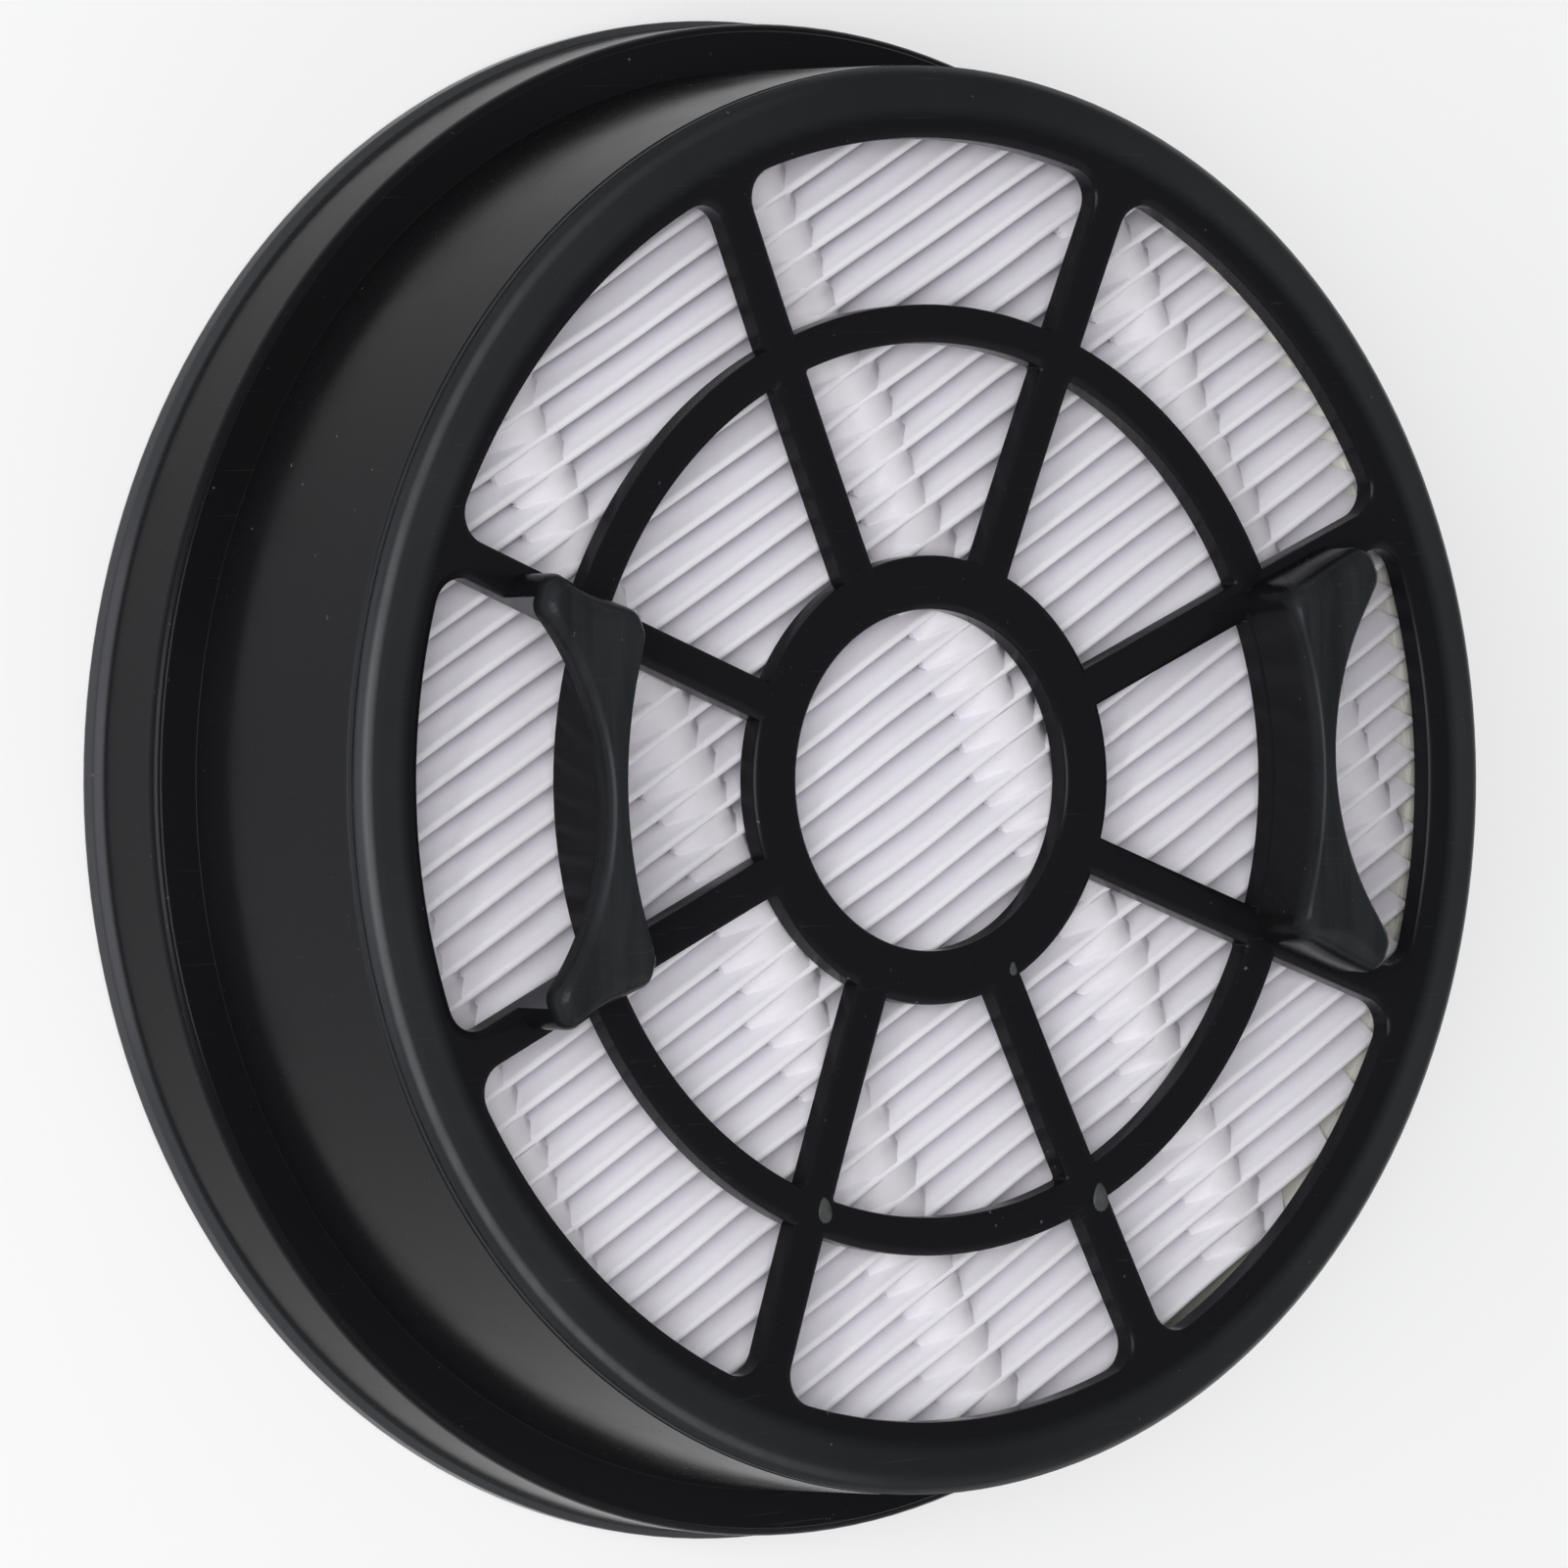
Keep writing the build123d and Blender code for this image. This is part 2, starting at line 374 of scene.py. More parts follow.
def window_outline(inner, outer, inset, corner):
    """Window between two spokes: arcs at two radii, straight sides, and rounded outer corners."""
    centre = beside_spoke(math.sqrt((outer - corner) ** 2 - (inset + corner) ** 2), inset + corner)
    side_end = beside_spoke(math.sqrt((outer - corner) ** 2 - (inset + corner) ** 2), inset)
    side_start = beside_spoke(math.sqrt(inner**2 - inset**2), inset)
    tangent = centre * (outer / centre.length)
    sides = [side_start.lerp(side_end, i / 8) for i in range(1, 8)]
    half = arc((0, 0), (inner, 0), side_start, 10) + sides
    half += arc(centre, side_end, tangent, 8)
    half += arc((0, 0), tangent, (outer, 0), 14)[1:]
    return mirrored(half)


def turned(ring, turn):
    """Outline turned about the axis."""
    return [Matrix.Rotation(turn, 2) @ point for point in ring]


def dish(radius):
    """Height of the dished front face at a radius."""
    moulding = settings()[0]
    sphere = (moulding.body_radius**2 + moulding.dish_depth**2) / (2 * moulding.dish_depth)
    return moulding.front_level - moulding.dish_depth + sphere - math.sqrt(sphere**2 - radius**2)


# Frame


def body_outline():
    """Closed section of the frame, from the hub hole over the front face, body, flange, lip and bore."""
    m = settings()[0]
    foot = m.body_radius + m.body_draft
    lip_radius = FRAME_HIGH[0]
    rim_foot = lip_radius - m.lip_overhang
    rim_top = rim_foot - m.rim_draft
    bore = m.body_radius - m.wall
    face_end = m.body_radius - m.bevel_width - 1.5 * m.front_edge
    seam_level = m.front_level - m.bevel_depth - 3 * m.seam
    rows = 28
    radii = [m.hub_inner + (face_end - m.hub_inner) * i / rows for i in range(rows + 1)]
    edge = m.grid_edge
    hub = rounded(
        [
            (m.hub_inner, dish(m.hub_inner) - m.plate, 0),
            (m.hub_inner, dish(m.hub_inner) - m.grid_drop, 0),
        ]
    )[:-1]
    turns = [math.radians(turn) for turn in range(0, 91, 15)]
    hub += [
        (m.hub_inner + edge * (1 - math.cos(turn)), dish(m.hub_inner) + m.grid_drop * (math.sin(turn) - 1))
        for turn in turns
    ]
    front = [(radius, dish(radius)) for radius in radii if radius > m.hub_inner + edge + 0.2 * MM]
    outside = rounded(
        [
            (face_end, dish(face_end), 0),
            (m.body_radius - m.bevel_width, dish(m.body_radius - m.bevel_width), m.front_edge),
            (m.body_radius - m.seam, m.front_level - m.bevel_depth, 0.2 * MM),
            (m.body_radius - m.seam, seam_level, 0),
            (m.body_radius, seam_level - m.seam, 0),
            (foot, m.flange_height, m.foot_round),
            (m.seam_radius, m.flange_height, 0),
            (m.seam_radius + m.seam, m.flange_height - m.seam, 0),
            (rim_top, m.flange_height - m.seam, m.flange_edge),
            (rim_foot, m.lip_height, 0.15 * MM),
            (lip_radius, m.lip_height - m.lip_overhang, 0.25 * MM),
            (lip_radius, 0, m.lip_round),
            (rim_top - m.wall, 0, 0.3 * MM),
            (rim_top - m.wall, m.flange_height - m.wall, 0.5 * MM),
            (bore, m.flange_height - m.wall, 0.5 * MM),
            (bore, dish(bore) - m.plate, 0.5 * MM),
            (radii[-1], dish(radii[-1]) - m.plate, 0),
        ]
    )
    back = [(radius, dish(radius) - m.plate) for radius in reversed(radii[1:-1:3])]
    return hub + front[:-1] + outside + back


def window_cutters():
    """Tools for the sixteen windows, flared at the front so that they leave rounded edges."""
    m = settings()[0]
    inset = m.spoke_width / 2
    edge = m.grid_edge
    flare = [math.radians(turn) for turn in (0, 18, 36, 54, 70)]
    cutters = []
    for sector in range(SPOKES):
        at_grip = sector % (SPOKES // 2) == 0
        inner = m.web_outer if at_grip else m.mid_outer
        ring_share = 0.1 if at_grip else 1
        for low, high, low_share, high_share, corner in (
            (inner, m.window_radius, ring_share, 1, m.window_corner),
            (m.hub_outer, m.mid_inner, 1, ring_share, 0.3 * MM),
        ):
            rings = []
            steps = [(0, -2 * m.plate)]
            steps += [(edge * (1 - math.cos(turn)), m.grid_drop * (math.sin(turn) - 1)) for turn in flare]
            slope = m.grid_drop / (edge * math.tan(flare[-1]))
            steps.append((steps[-1][0] + 0.5 * edge, steps[-1][1] + 0.5 * edge * slope))
            for grow, rise in steps:
                outline = window_outline(
                    low - grow * low_share, high + grow * high_share, inset - grow, corner + grow * high_share
                )
                ring = turned(outline, 2 * HALF_SECTOR * sector)
                rings.append([(p.x, p.y, dish(p.length) + rise) for p in ring])
            cutters.append(loft("window_cutter", rings))
    return join(cutters, "window_cutters")


def grip_outline():
    """Bow-tie plan of a finger grip on +X, with the radius of its top edge at each point."""
    m = settings()[0]
    inset = m.grip_side_step - m.spoke_width / 2
    tip = m.grip_tip_round
    heel = m.grip_heel_round
    waist = Vector((m.grip_waist + m.grip_waist_round, 0))
    heel_along = math.sqrt((m.web_inner + heel) ** 2 - (inset + heel) ** 2)
    heel_centre = beside_spoke(heel_along, inset + heel)
    tip_along = math.sqrt((m.grip_end - tip) ** 2 - (inset + tip) ** 2)
    tip_centre = beside_spoke(tip_along, inset + tip)
    reach = m.grip_end - tip
    hollow = m.grip_waist_round + tip
    nose_x = (reach**2 + waist.x**2 - hollow**2) / (2 * waist.x)
    nose_centre = Vector((nose_x, math.sqrt(reach**2 - nose_x**2)))
    heel_start = heel_centre * (m.web_inner / heel_centre.length)
    tip_end = tip_centre * (m.grip_end / tip_centre.length)
    nose_start = nose_centre * (m.grip_end / nose_centre.length)
    nose_end = waist + (nose_centre - waist) * (m.grip_waist_round / hollow)
    heel_end = beside_spoke(heel_along, inset)
    tip_start = beside_spoke(tip_along, inset)
    spans = [
        (arc((0, 0), (m.web_inner, 0), heel_start, 16), 0.5),
        (arc(heel_centre, heel_start, heel_end, 8)[1:], 1.5),
        ([heel_end.lerp(tip_start, 1 / 6)], 2.2),
        ([heel_end.lerp(tip_start, i / 6) for i in (2, 3, 4)], 3.0),
        ([heel_end.lerp(tip_start, 5 / 6)], 2.0),
        (arc(tip_centre, tip_start, tip_end, 8), 1.4),
        (arc(nose_centre, nose_start, nose_end, 8), 1.35),
        (arc(waist, nose_end, (m.grip_waist, 0), 20)[1:], 0.8),
    ]
    half = [point for span, radius in spans for point in span]
    edges = [radius * MM for span, radius in spans for point in span]
    last = len(edges) - 1
    for sweep in range(4):
        edges = [(edges[max(i - 1, 0)] + 2 * edges[i] + edges[min(i + 1, last)]) / 4 for i in range(last + 1)]
    return mirrored(half), edges + edges[-2:0:-1]


def grip(turn):
    """One finger grip: a plate with rounded top edges, hollowed from the rim side under its top."""
    m = settings()[0]
    base = dish(m.web_outer) - m.plate / 2
    top = FRAME_HIGH[2]
    outline, edges = grip_outline()
    count = len(outline)
    normals = []
    for i in range(count):
        along = outline[(i + 1) % count] - outline[i - 1]
        normals.append(Vector((-along.y, along.x)).normalized())
    area = sum(outline[i - 1].cross(outline[i]) for i in range(count))
    inwards = 1 if area > 0 else -1
    rings = [[(p.x, p.y, base) for p in turned(outline, turn)]]
    for lift in [math.radians(angle_step) for angle_step in range(0, 91, 15)]:
        ring = [
            point + normal * inwards * edge * (1 - math.cos(lift))
            for point, normal, edge in zip(outline, normals, edges)
        ]
        heights = [top - min(1.45 * edge, 0.9 * MM + 0.9 * edge) * (1 - math.sin(lift)) for edge in edges]
        rings.append([(p.x, p.y, height) for p, height in zip(turned(ring, turn), heights)])
    piece = loft("grip", rings)
    hollow = turned(window_outline(m.web_outer, m.body_radius, m.spoke_width / 2, 0.3 * MM), turn)
    low = base - m.plate
    high = top - m.grip_plate
    combine(piece, loft("grip_hollow", [[(p.x, p.y, z) for p in hollow] for z in (low, high)]), "DIFFERENCE")
    return piece


class FILTER_OT_frame(bpy.types.Operator):
    """Model the moulded frame with its dished grid and finger grips"""

    bl_idname = "filter.frame"
    bl_label = "Moulded Frame"

    def execute(self, context):
        piece = spin_profile("moulded_frame", body_outline(), 180)
        combine(piece, window_cutters(), "DIFFERENCE")
        for turn in (0, math.pi):
            combine(piece, grip(turn), "UNION")
        smooth(piece, math.radians(28))
        finish_piece(piece, plastic_material(), "black_plastic", "frame")
        return {"FINISHED"}


# Places and half lengths of the gate marks on the front face, in millimetres
GATE_MARKS = ((15.6, -35.8, 1.25), (-13.5, -34.8, 1.1), (7.65, -16.1, 0.6))


class FILTER_OT_gates(bpy.types.Operator):
    """Raise the pale drops where the moulding was broken from its gates"""

    bl_idname = "filter.gates"
    bl_label = "Gate Marks"

    def execute(self, context):
        drops = []
        for x, y, half in GATE_MARKS:
            deselect()
            bpy.ops.mesh.primitive_uv_sphere_add(segments=16, ring_count=8, radius=1)
            drop = bpy.context.object
            for vertex in drop.data.vertices:
                u, v, w = vertex.co
                spot = Vector((x + u * half * (0.62 - 0.2 * v), y + v * half)) * MM
                rise = (0.14 + 0.03 * math.sin(5 * u + 3 * v)) * w * MM
                vertex.co = (spot.x, spot.y, dish(spot.length) + rise)
            drops.append(drop)
        piece = join(drops, "gate_marks")
        activate(piece)
        bpy.ops.object.shade_smooth()
        finish_piece(piece, gate_material(), "black_plastic")
        return {"FINISHED"}


# Paper pack


def pleat_axes():
    """Directions along and across the pleats."""
    slant = settings()[1].slant
    return Vector((math.cos(slant), math.sin(slant), 0)), Vector((-math.sin(slant), math.cos(slant), 0))


def middle(first, second):
    """Point halfway between two."""
    return (first[0] + second[0]) / 2, (first[1] + second[1]) / 2


def crests():
    """Places of the crests across the pleats."""
    pack = settings()[1]
    return [pack.offset + (pleat - (PLEATS - 1) / 2) * pack.pitch for pleat in range(PLEATS)]


def bead_rows():
    """Places of the bead rows along the pleats."""
    pack = settings()[1]
    return [pack.bead_offset + (row - (BEAD_ROWS - 1) / 2) * pack.bead_spacing for row in range(BEAD_ROWS)]


def sway(along, across):
    """Sideways wander of a pleat, which the bead rows hold still."""
    pack = settings()[1]
    freedom = math.sin(math.pi * (along - pack.bead_offset - pack.bead_spacing / 2) / pack.bead_spacing) ** 2
    drift = noise.noise(Vector((along * 60, across * 120, 3.0)))
    return pack.sway * (0.35 + freedom) * drift


class FILTER_OT_paper(bpy.types.Operator):
    """Fold the paper into a round pack of pleats"""

    bl_idname = "filter.paper"
    bl_label = "Folded Paper"

    def execute(self, context):
        pack = settings()[1]
        bend = pack.bend
        top = PACK_HIGH[2] - pack.paper / 2 - bend
        foot = PACK_LOW[2] + pack.paper / 2 + bend
        half = pack.pitch / 2
        turns = [pack.shoulder + (math.pi - 2 * pack.shoulder) * i / 6 for i in range(7)]
        reach = bend + pack.shoulder_depth * math.tan(pack.shoulder)
        section = []
        for crest in crests():
            ridge = [(crest - bend * math.cos(t), top + bend * math.sin(t)) for t in turns]
            trough = [(crest + half - bend * math.cos(t), foot - bend * math.sin(t)) for t in turns]
            high = top - pack.shoulder_depth
            low = foot + pack.shoulder_depth
            leg = [(crest + reach, high), (crest + half - reach, low)]
            rise = [(crest + half + reach, low), (crest + pack.pitch - reach, high)]
            section += ridge + [middle(ridge[-1], leg[0])] + leg + trough + rise
            section.append(middle(rise[-1], (ridge[0][0] + pack.pitch, ridge[0][1])))
        section = section[: -len(turns) - 3]
        radius = PACK_HIGH[0]
        rows = 36
        deselect()
        bpy.ops.mesh.primitive_grid_add(x_subdivisions=len(section) - 1, y_subdivisions=rows, size=MM)
        piece = name_piece("folded_paper")
        along_axis, across_axis = pleat_axes()
        columns = len(section)
        for index, vertex in enumerate(piece.data.vertices):
            across, height = section[index % columns]
            reach = math.sqrt(max(radius**2 - across**2, 0))
            along = reach * (2 * (index // columns) / rows - 1)
            share = (height - foot) / (top - foot)
            spot = along_axis * along + across_axis * (across + sway(along, across) * share)
            dip = 0.25 * MM * abs(noise.noise(Vector((along * 45, across * 90, 9.0)))) * max(share, 0)
            vertex.co = (spot.x, spot.y, height - dip)
        activate(piece)
        modifier = piece.modifiers.new("Paper", "SOLIDIFY")
        modifier.thickness = pack.paper
        modifier.offset = 0
        bpy.ops.object.modifier_apply(modifier=modifier.name)
        bpy.ops.object.mode_set(mode="EDIT")
        bpy.ops.mesh.select_all(action="SELECT")
        bpy.ops.mesh.normals_make_consistent(inside=False)
        bpy.ops.object.mode_set(mode="OBJECT")
        bpy.ops.object.shade_smooth_by_angle(angle=math.radians(40))
        finish_piece(piece, paper_material(), "filter_paper", "pleated_media")
        return {"FINISHED"}


class FILTER_OT_beads(bpy.types.Operator):
    """Place the glue beads that bridge the valleys of the pleats"""

    bl_idname = "filter.beads"
    bl_label = "Glue Beads"

    def execute(self, context):
        pack = settings()[1]
        front = [crest + pack.pitch / 2 for crest in crests()[:-1]]
        self.rows_of_beads("front_glue_beads", front, PACK_HIGH[2], -1, "front_separator_beads")
        self.rows_of_beads("back_glue_beads", crests(), PACK_LOW[2], 1, "back_separator_beads")
        return {"FINISHED"}

    def rows_of_beads(self, name, valleys, level, inwards, node):
        """All beads of one face, each a wedge that fills its valley almost up to the crests."""
        pack = settings()[1]
        along_axis, across_axis = pleat_axes()
        radius = PACK_HIGH[0]
        wander = random.Random(7)
        beads = []
        for row in bead_rows():
            for valley in valleys:
                if math.hypot(abs(row) + pack.bead_half_length, abs(valley) + pack.pitch / 2) > radius:
                    continue
                deselect()
                bpy.ops.mesh.primitive_cube_add(size=2)
                bpy.ops.object.mode_set(mode="EDIT")
                bpy.ops.mesh.subdivide(number_cuts=2)
                bpy.ops.object.mode_set(mode="OBJECT")
                bead = bpy.context.object
                size = 0.85 + 0.4 * wander.random()
                shift = (wander.random() - 0.5) * 0.7 * MM
                sink = (0.08 + 0.18 * wander.random()) * MM
                limit = math.sqrt((radius - 0.3 * MM) ** 2 - valley**2)
                for vertex in bead.data.vertices:
                    u, v, w = vertex.co
                    end = 0 if u < 0 else 1
                    slope = max(abs(u) - BEAD_FLAT, 0) / (1 - BEAD_FLAT)
                    top = sink * (1 - BEAD_HOLLOW * v * v) + slope * BEAD_DROPS[end] * pack.bead_depth
                    depth = top + (0.5 - 0.5 * w) * (pack.bead_depth - top)
                    width = pack.pitch / 2 - pack.bend - depth * math.tan(pack.shoulder)
                    reach = pack.bead_half_length * size * (0.5 + BEAD_STRETCHES[end] * slope)
                    waver = BEAD_WAVER * math.sin(9 * u + 5 * v + 400 * valley)
                    along = row + shift + math.copysign(reach, u) + waver
                    along = max(-limit, min(limit, along))
                    spot = along_axis * along + across_axis * (valley + v * width)
                    vertex.co = (spot.x, spot.y, level + inwards * depth)
                beads.append(bead)
        piece = join(beads, name)
        activate(piece)
        bpy.ops.object.mode_set(mode="EDIT")
        bpy.ops.mesh.select_all(action="SELECT")
        bpy.ops.mesh.normals_make_consistent(inside=False)
        bpy.ops.object.mode_set(mode="OBJECT")
        bpy.ops.object.shade_smooth_by_angle(angle=math.radians(66))
        finish_piece(piece, glue_material(), "hot_melt", node)


class FILTER_OT_seal(bpy.types.Operator):
    """Run the ring of glue between the pack and the frame"""

    bl_idname = "filter.seal"
    bl_label = "Seal Glue"

    def execute(self, context):
        outer = GLUE_HIGH[0]
        inner = PACK_HIGH[0] + 0.05 * MM
        low = GLUE_LOW[2]
        high = GLUE_HIGH[2]
        outline = rounded(
            [
                (inner, (low + high) / 2, 0),
                (inner, high, 0.6 * MM),
                (outer, high, 0.3 * MM),
                (outer, low, 0.3 * MM),
                (inner, low, 0.6 * MM),
                (inner, (low + high) / 2, 0),
            ]
        )[:-1]
        piece = spin_profile("seal_glue", outline, 180)
        for vertex in piece.data.vertices:
            lump = noise.noise(vertex.co * 180)
            if abs(vertex.co.z - low) < 0.3 * MM or abs(vertex.co.z - high) < 0.3 * MM:
                inwards = 1 if abs(vertex.co.z - low) < 0.3 * MM else -1
                vertex.co.z += inwards * abs(lump) * 0.5 * MM
        smooth(piece, math.radians(45))
        finish_piece(piece, seal_material(), "hot_melt", "pack_adhesive")
        return {"FINISHED"}


# Materials


def new_material(name):
    """Material with its shader, its node tree and an object coordinate node."""
    material = bpy.data.materials.new(name)
    material.use_nodes = True
    tree = material.node_tree
    shader = tree.nodes["Principled BSDF"]
    place = tree.nodes.new("ShaderNodeTexCoord")
    return material, tree, shader, place.outputs["Object"]


def noise_node(tree, place, scale, detail=4.0, roughness=0.55, stretch=None):
    """Noise texture on object coordinates, stretched along an axis where given."""
    texture = tree.nodes.new("ShaderNodeTexNoise")
    texture.inputs["Scale"].default_value = scale
    texture.inputs["Detail"].default_value = detail
    texture.inputs["Roughness"].default_value = roughness
    if stretch:
        mapping = tree.nodes.new("ShaderNodeMapping")
        mapping.inputs["Rotation"].default_value = stretch[0]
        mapping.inputs["Scale"].default_value = stretch[1]
        tree.links.new(place, mapping.inputs["Vector"])
        place = mapping.outputs["Vector"]
    tree.links.new(place, texture.inputs["Vector"])
    return texture.outputs["Fac"]


def ramp(tree, value, low, high, start=0.0, end=1.0):
    """Value mapped from one range to another, clamped."""
    node = tree.nodes.new("ShaderNodeMapRange")
    node.inputs["From Min"].default_value = low
    node.inputs["From Max"].default_value = high
    node.inputs["To Min"].default_value = start
    node.inputs["To Max"].default_value = end
    tree.links.new(value, node.inputs["Value"])
    return node.outputs["Result"]


def math_node(tree, operation, first, second):
    """Math node of two values, each a socket or a number."""
    node = tree.nodes.new("ShaderNodeMath")
    node.operation = operation
    for socket, value in zip(node.inputs, (first, second)):
        if isinstance(value, (int, float)):
            socket.default_value = value
        else:
            tree.links.new(value, socket)
    return node.outputs["Value"]


def mix_colour(tree, factor, first, second):
    """Colour mixed by a factor from a first colour, or the colour of a socket, to a second one."""
    node = tree.nodes.new("ShaderNodeMix")
    node.data_type = "RGBA"
    tree.links.new(factor, node.inputs["Factor"])
    if isinstance(first, bpy.types.NodeSocket):
        tree.links.new(first, node.inputs["A"])
    else:
        node.inputs["A"].default_value = (*first, 1)
    node.inputs["B"].default_value = (*second, 1)
    return node.outputs["Result"]


def axis_distance(tree, place, centre):
    """Distance from an upright axis through a centre."""
    flat = tree.nodes.new("ShaderNodeVectorMath")
    flat.operation = "MULTIPLY"
    flat.inputs[1].default_value = (1, 1, 0)
    tree.links.new(place, flat.inputs[0])
    reach = tree.nodes.new("ShaderNodeVectorMath")
    reach.operation = "DISTANCE"
    reach.inputs[1].default_value = (*centre, 0)
    tree.links.new(flat.outputs["Vector"], reach.inputs[0])
    return reach.outputs["Value"]


def bump(tree, height, distance, strength=1.0):
    """Bump from a height."""
    node = tree.nodes.new("ShaderNodeBump")
    node.inputs["Distance"].default_value = distance
    node.inputs["Strength"].default_value = strength
    tree.links.new(height, node.inputs["Height"])
    return node.outputs["Normal"]


def ramp_mm(tree, value, span, low=0, high=1):
    """Ramp over a span that is given in mm."""
    return ramp(tree, value, span[0] * MM, span[1] * MM, low, high)


def product(tree, first, *others):
    """Product of several values."""
    for other in others:
        first = math_node(tree, "MULTIPLY", first, other)
    return first


def plastic_material():
    """Glossy black moulding with haze, fine scratches, specks of dust, a greyish film with a painted sheen, a
    lip band that is partly wear and partly a painted reflection, and a painted highlight line on the front
    edge.
    """
    finish = settings()[2]
    material, tree, shader, place = new_material("black_moulded_plastic")
    split = tree.nodes.new("ShaderNodeSeparateXYZ")
    tree.links.new(place, split.inputs["Vector"])
    left, up, height = (split.outputs[axis] for axis in "XYZ")
    radius = axis_distance(tree, place, (0, 0))
    haze = ramp(tree, noise_node(tree, place, 55, 6, 0.6), 0.35, 0.75)
    scratches = []
    for turn, scale in ((0.6, 70), (-0.4, 95), (1.9, 80)):
        lines = noise_node(tree, place, scale, 1, 0.4, ((0.2, 0.1, turn), (1, 45, 45)))
        scratches.append(ramp(tree, lines, 0.74, 0.80))
    scratch = math_node(tree, "MAXIMUM", math_node(tree, "MAXIMUM", scratches[0], scratches[1]), scratches[2])
    scratch = product(tree, scratch, SCRATCH_SHARE)
    specks = ramp(tree, noise_node(tree, place, 1400, 2, 0.5), 0.75, 0.79)
    dirt = product(tree, math_node(tree, "MAXIMUM", scratch, specks), haze)
    streaks = noise_node(tree, place, 60, 3, 0.6, ((0, 0, 0.3), (9, 1, 1)))
    # Painted sheen and film on the front ring's outer zone, stronger to the left and right
    ring = product(
        tree,
        ramp_mm(tree, axis_distance(tree, place, (RING_FILM_AND_SHEEN_CENTRE * MM, 0)), RING_FILM_AND_SHEEN_RADII),
        ramp_mm(tree, height, RING_FILM_AND_SHEEN_HEIGHTS),
        ramp_mm(tree, math_node(tree, "ABSOLUTE", left, 0), RING_FILM_AND_SHEEN_ASIDE, 0.45, 1),
    )
    # Painted sheen and film in streaks on the grip tops
    grip_top = product(tree, ramp_mm(tree, height, GRIP_FILM_AND_SHEEN_HEIGHTS), ramp(tree, streaks, 0.3, 0.7, 0.35, 1))
    film_and_sheen = product(tree, math_node(tree, "MAXIMUM", ring, grip_top), ramp(tree, haze, 0, 1, 0.75, 1))
    # Lighter lip band all round: partly wear, partly a painted reflection
    lip = product(tree, ramp_mm(tree, radius, LIP_WEAR_AND_SHEEN_RADII), ramp_mm(tree, height, LIP_WEAR_AND_SHEEN_HEIGHTS))
    # Painted highlight line on the front edge's bevel: full on the left, gone past the middle, weaker towards
    # the top, broken up by streaks
    edge = product(
        tree,
        ramp_mm(tree, radius, EDGE_HIGHLIGHT_INSIDE),
        ramp_mm(tree, radius, EDGE_HIGHLIGHT_OUTSIDE),
        ramp_mm(tree, height, EDGE_HIGHLIGHT_HEIGHTS),
        ramp_mm(tree, left, EDGE_HIGHLIGHT_LEFT, 1, 0),
        ramp_mm(tree, up, EDGE_HIGHLIGHT_TOP, 1, 0.3),
        ramp(tree, streaks, 0.3, 0.6, 0.7, 1),
    )
    # Greyish film with a painted sheen on the ring's outer zone and the grip tops
    base = mix_colour(tree, film_and_sheen, finish.plastic, finish.film_and_sheen)
    # Lip band, partly wear and partly a painted reflection
    base = mix_colour(tree, lip, base, finish.lip_wear_and_sheen)
    # Painted highlight line of the front edge
    base = mix_colour(tree, edge, base, finish.edge)
    tree.links.new(mix_colour(tree, dirt, base, finish.dust), shader.inputs["Base Color"])
    rough = math_node(tree, "ADD", ramp(tree, haze, 0, 1, 0.17, 0.30), scratch)
    rough = math_node(tree, "ADD", rough, product(tree, film_and_sheen, 0.08))
    tree.links.new(rough, shader.inputs["Roughness"])
    waves = noise_node(tree, place, 140, 2, 0.4)
    tree.links.new(bump(tree, waves, 0.02 * MM), shader.inputs["Normal"])
    shader.inputs["IOR"].default_value = 1.5
    shader.inputs["Specular IOR Level"].default_value = 0.11
    shader.inputs["Specular Tint"].default_value = (0.89, 0.86, 1.0, 1.0)
    return material


def gate_material():
    """Pale torn plastic of the gate marks."""
    finish = settings()[2]
    material, tree, shader, place = new_material("torn_plastic")
    clouds = ramp(tree, noise_node(tree, place, 900, 4, 0.6), 0.3, 0.7)
    darker = tuple(channel * 0.6 for channel in finish.gate)
    tree.links.new(mix_colour(tree, clouds, darker, finish.gate), shader.inputs["Base Color"])
    shader.inputs["Roughness"].default_value = 0.4
    shader.inputs["Specular IOR Level"].default_value = 0.18
    return material


def paper_material():
    """White fleece paper with fine fibres."""
    finish = settings()[2]
    material, tree, shader, place = new_material("white_filter_paper")
    clouds = ramp(tree, noise_node(tree, place, 160, 5, 0.6), 0.3, 0.7)
    darker = tuple(channel * 0.985 for channel in finish.paper)
    tree.links.new(mix_colour(tree, clouds, darker, finish.paper), shader.inputs["Base Color"])
    fibres = noise_node(tree, place, 2600, 4, 0.6)
    tree.links.new(bump(tree, fibres, 0.03 * MM, 0.6), shader.inputs["Normal"])
    shader.inputs["Roughness"].default_value = 0.85
    shader.inputs["Specular IOR Level"].default_value = 0.2
    return material


def glue_material():
    """Milky glue beads."""
    finish = settings()[2]
    material, tree, shader, place = new_material("milky_glue")
    clouds = ramp(tree, noise_node(tree, place, 500, 3, 0.5), 0.3, 0.7)
    darker = tuple(channel * 0.97 for channel in finish.glue)
    tree.links.new(mix_colour(tree, clouds, darker, finish.glue), shader.inputs["Base Color"])
    shader.inputs["Roughness"].default_value = 0.6
    shader.inputs["Specular IOR Level"].default_value = 0.25
    return material


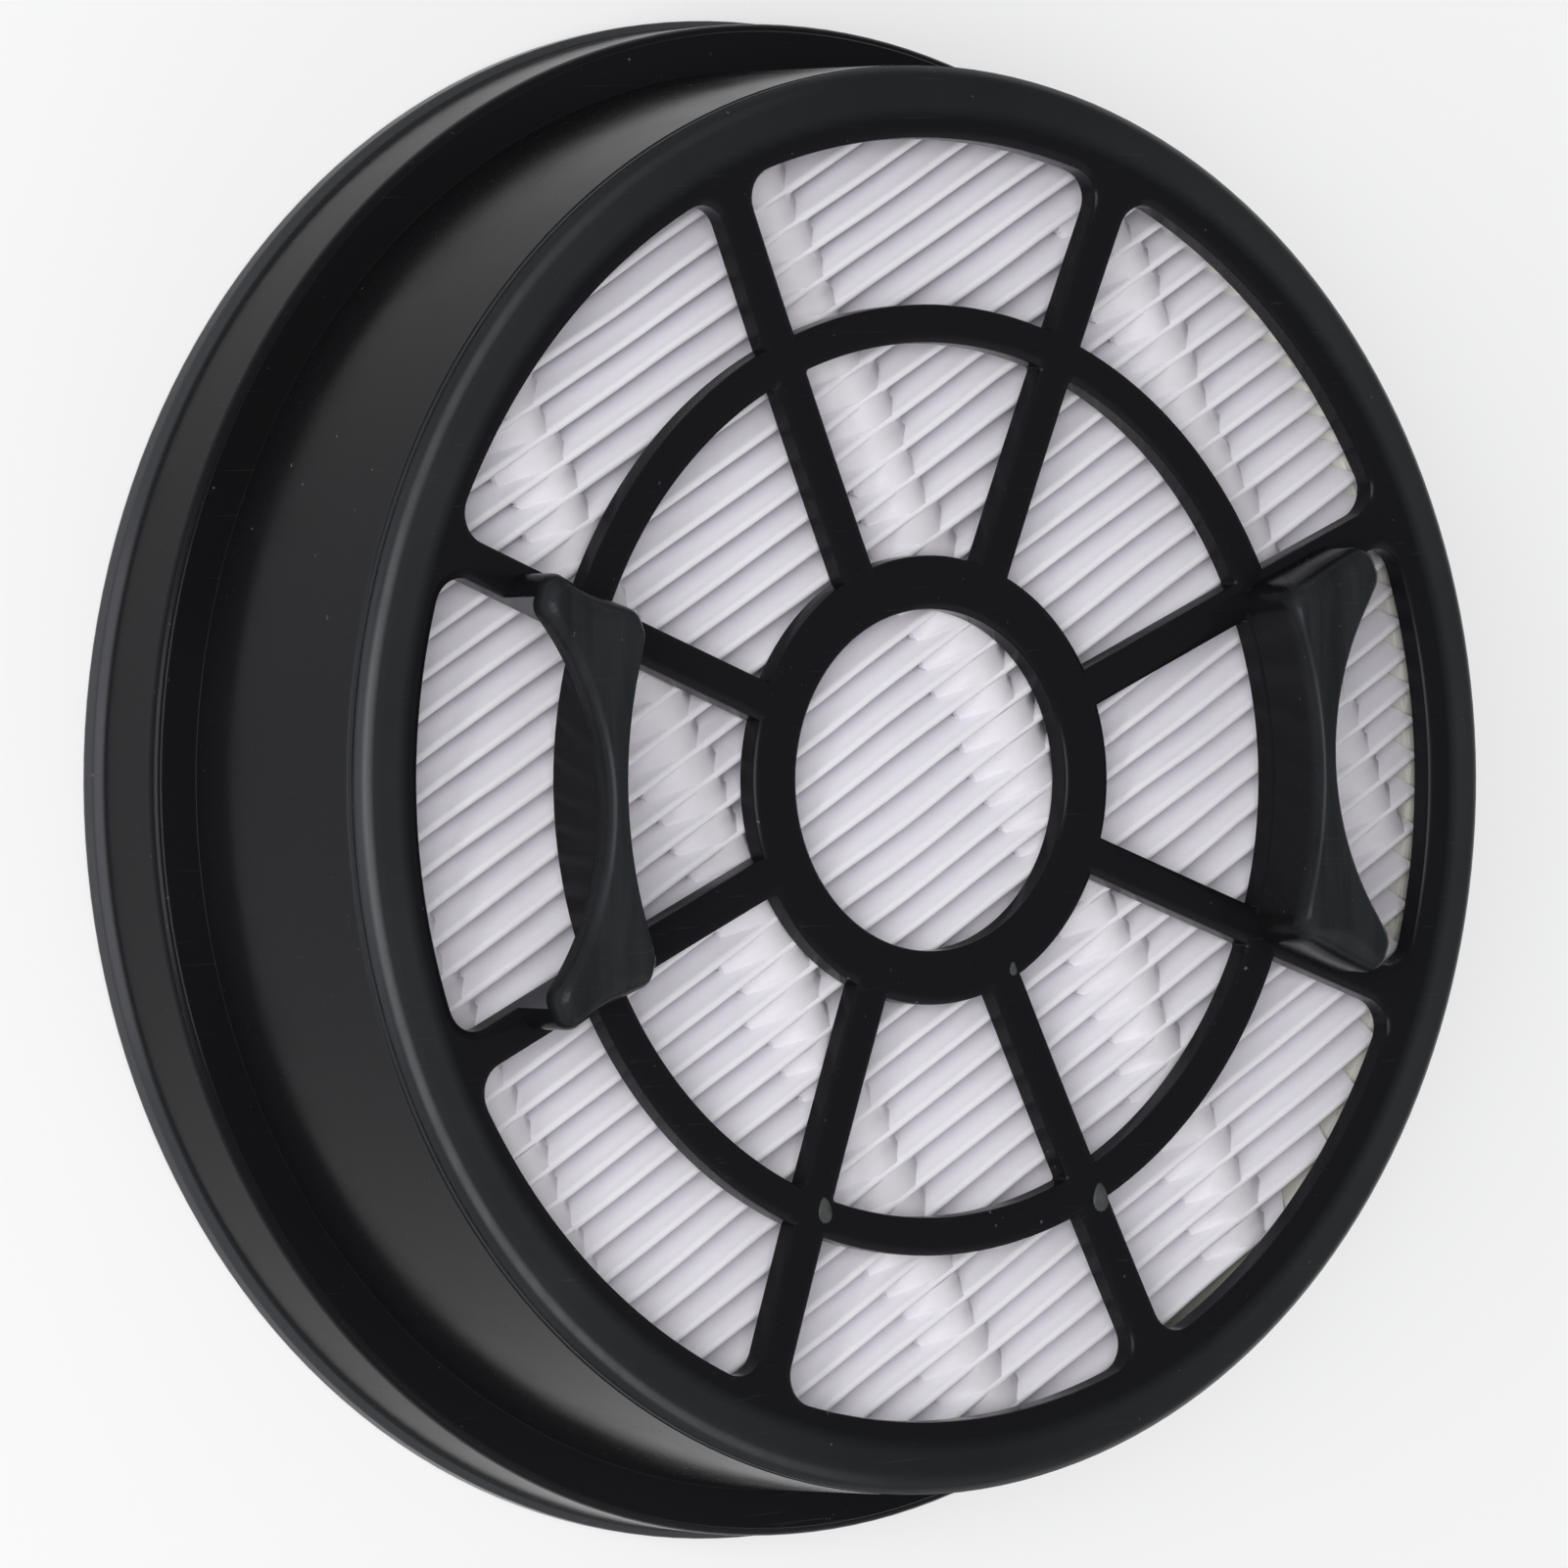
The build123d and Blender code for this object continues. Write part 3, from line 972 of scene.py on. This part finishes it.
def seal_material():
    """Beige glue that seals the pack in the frame."""
    finish = settings()[2]
    material, tree, shader, place = new_material("beige_seal_glue")
    clouds = ramp(tree, noise_node(tree, place, 220, 4, 0.6), 0.3, 0.7)
    darker = tuple(channel * 0.82 for channel in finish.seal_glue)
    tree.links.new(mix_colour(tree, clouds, darker, finish.seal_glue), shader.inputs["Base Color"])
    lumps = noise_node(tree, place, 260, 3, 0.5)
    tree.links.new(bump(tree, lumps, 0.3 * MM, 0.7), shader.inputs["Normal"])
    shader.inputs["Roughness"].default_value = 0.5
    return material


# Stage

CAMERA_PLACE = Vector((-0.42445, 0.01791, 0.57160))
CAMERA_RIGHT = Vector((0.79752, -0.03260, 0.60241))
CAMERA_UP = Vector((0.04162, 0.99913, -0.00102))
CAMERA_LENS = 190.26
SENSOR_WIDTH = 36.0


class FILTER_OT_stage(bpy.types.Operator):
    """Set the floor, the soft lights and the camera"""

    bl_idname = "filter.stage"
    bl_label = "Stage"

    def execute(self, context):
        self.floor()
        self.world()
        self.lamps()
        self.camera()
        bpy.context.scene.view_settings.view_transform = "Standard"
        return {"FINISHED"}

    def floor(self):
        """Plain pale floor under the filter."""
        deselect()
        bpy.ops.mesh.primitive_plane_add(size=6)
        floor = name_piece("floor")
        material, tree, shader, place = new_material("pale_floor")
        shade = settings()[2].floor
        clouds = noise_node(tree, place, 3, 2, 0.5)
        darker = tuple(channel * 0.99 for channel in shade)
        tree.links.new(mix_colour(tree, clouds, darker, shade), shader.inputs["Base Color"])
        shader.inputs["Roughness"].default_value = 0.9
        shader.inputs["Specular IOR Level"].default_value = 0.1
        paths = tree.nodes.new("ShaderNodeLightPath").outputs
        seen = math_node(tree, "MAXIMUM", paths["Is Camera Ray"], paths["Is Glossy Ray"])
        seen = math_node(tree, "MAXIMUM", seen, paths["Is Transmission Ray"])
        white = tree.nodes.new("ShaderNodeEmission")
        white.inputs["Strength"].default_value = 1.0
        blend = tree.nodes.new("ShaderNodeMixShader")
        tree.links.new(product(tree, seen, FLOOR_WHITE), blend.inputs["Fac"])
        tree.links.new(shader.outputs["BSDF"], blend.inputs[1])
        tree.links.new(white.outputs["Emission"], blend.inputs[2])
        tree.links.new(blend.outputs["Shader"], tree.nodes["Material Output"].inputs["Surface"])
        floor.data.materials.append(material)

    def world(self):
        """Dim even surroundings."""
        world = bpy.data.worlds.new("dim_room")
        world.use_nodes = True
        background = world.node_tree.nodes["Background"]
        background.inputs["Color"].default_value = (0.96, 0.98, 1.0, 1)
        background.inputs["Strength"].default_value = 0.30
        bpy.context.scene.world = world

    def lamps(self):
        """Large soft lamps, kept out of the mirror direction of the front face."""
        for name, place, wide, deep, power in LAMPS:
            deselect()
            bpy.ops.object.light_add(type="AREA", location=place)
            lamp = bpy.context.object
            lamp.name = name
            lamp.data.shape = "RECTANGLE"
            lamp.data.size = wide
            lamp.data.size_y = deep
            lamp.data.energy = power
            lamp.rotation_euler = Vector(place).to_track_quat("Z", "Y").to_euler()

    def camera(self):
        """Camera at the photograph's viewing angle."""
        deselect()
        bpy.ops.object.camera_add()
        camera = bpy.context.object
        back = CAMERA_RIGHT.cross(CAMERA_UP)
        turn = Matrix((CAMERA_RIGHT, CAMERA_UP, back)).transposed()
        camera.matrix_world = Matrix.Translation(CAMERA_PLACE) @ turn.to_4x4()
        camera.data.lens = CAMERA_LENS
        camera.data.sensor_width = SENSOR_WIDTH
        camera.data.clip_start = 0.01
        bpy.context.scene.camera = camera


OPERATORS = (
    FILTER_OT_frame,
    FILTER_OT_gates,
    FILTER_OT_paper,
    FILTER_OT_beads,
    FILTER_OT_seal,
    FILTER_OT_stage,
)


class FILTER_PT_panel(bpy.types.Panel):
    """Sizes, colours and steps of the filter"""

    bl_idname = "FILTER_PT_panel"
    bl_label = "Round Pleated Filter"
    bl_space_type = "VIEW_3D"
    bl_region_type = "UI"
    bl_category = "Filter"

    def draw(self, context):
        for step in OPERATORS:
            self.layout.operator(step.bl_idname)
        for group in settings():
            for key in group.__annotations__:
                self.layout.prop(group, key)


def register():
    """Registers the classes and puts the settings on the scene."""
    for kind in (*SIZE_GROUPS.values(), *OPERATORS, FILTER_PT_panel):
        bpy.utils.register_class(kind)
    for key, group in SIZE_GROUPS.items():
        setattr(bpy.types.Scene, f"filter_{key}", bpy.props.PointerProperty(type=group))


def unregister():
    """Removes the settings and the classes."""
    for key in SIZE_GROUPS:
        delattr(bpy.types.Scene, f"filter_{key}")
    for kind in reversed((*SIZE_GROUPS.values(), *OPERATORS, FILTER_PT_panel)):
        bpy.utils.unregister_class(kind)


def main():
    """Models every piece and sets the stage."""
    register()
    bpy.ops.filter.frame()
    bpy.ops.filter.gates()
    bpy.ops.filter.paper()
    bpy.ops.filter.beads()
    bpy.ops.filter.seal()
    bpy.ops.filter.stage()


if __name__ == "__main__":
    main()
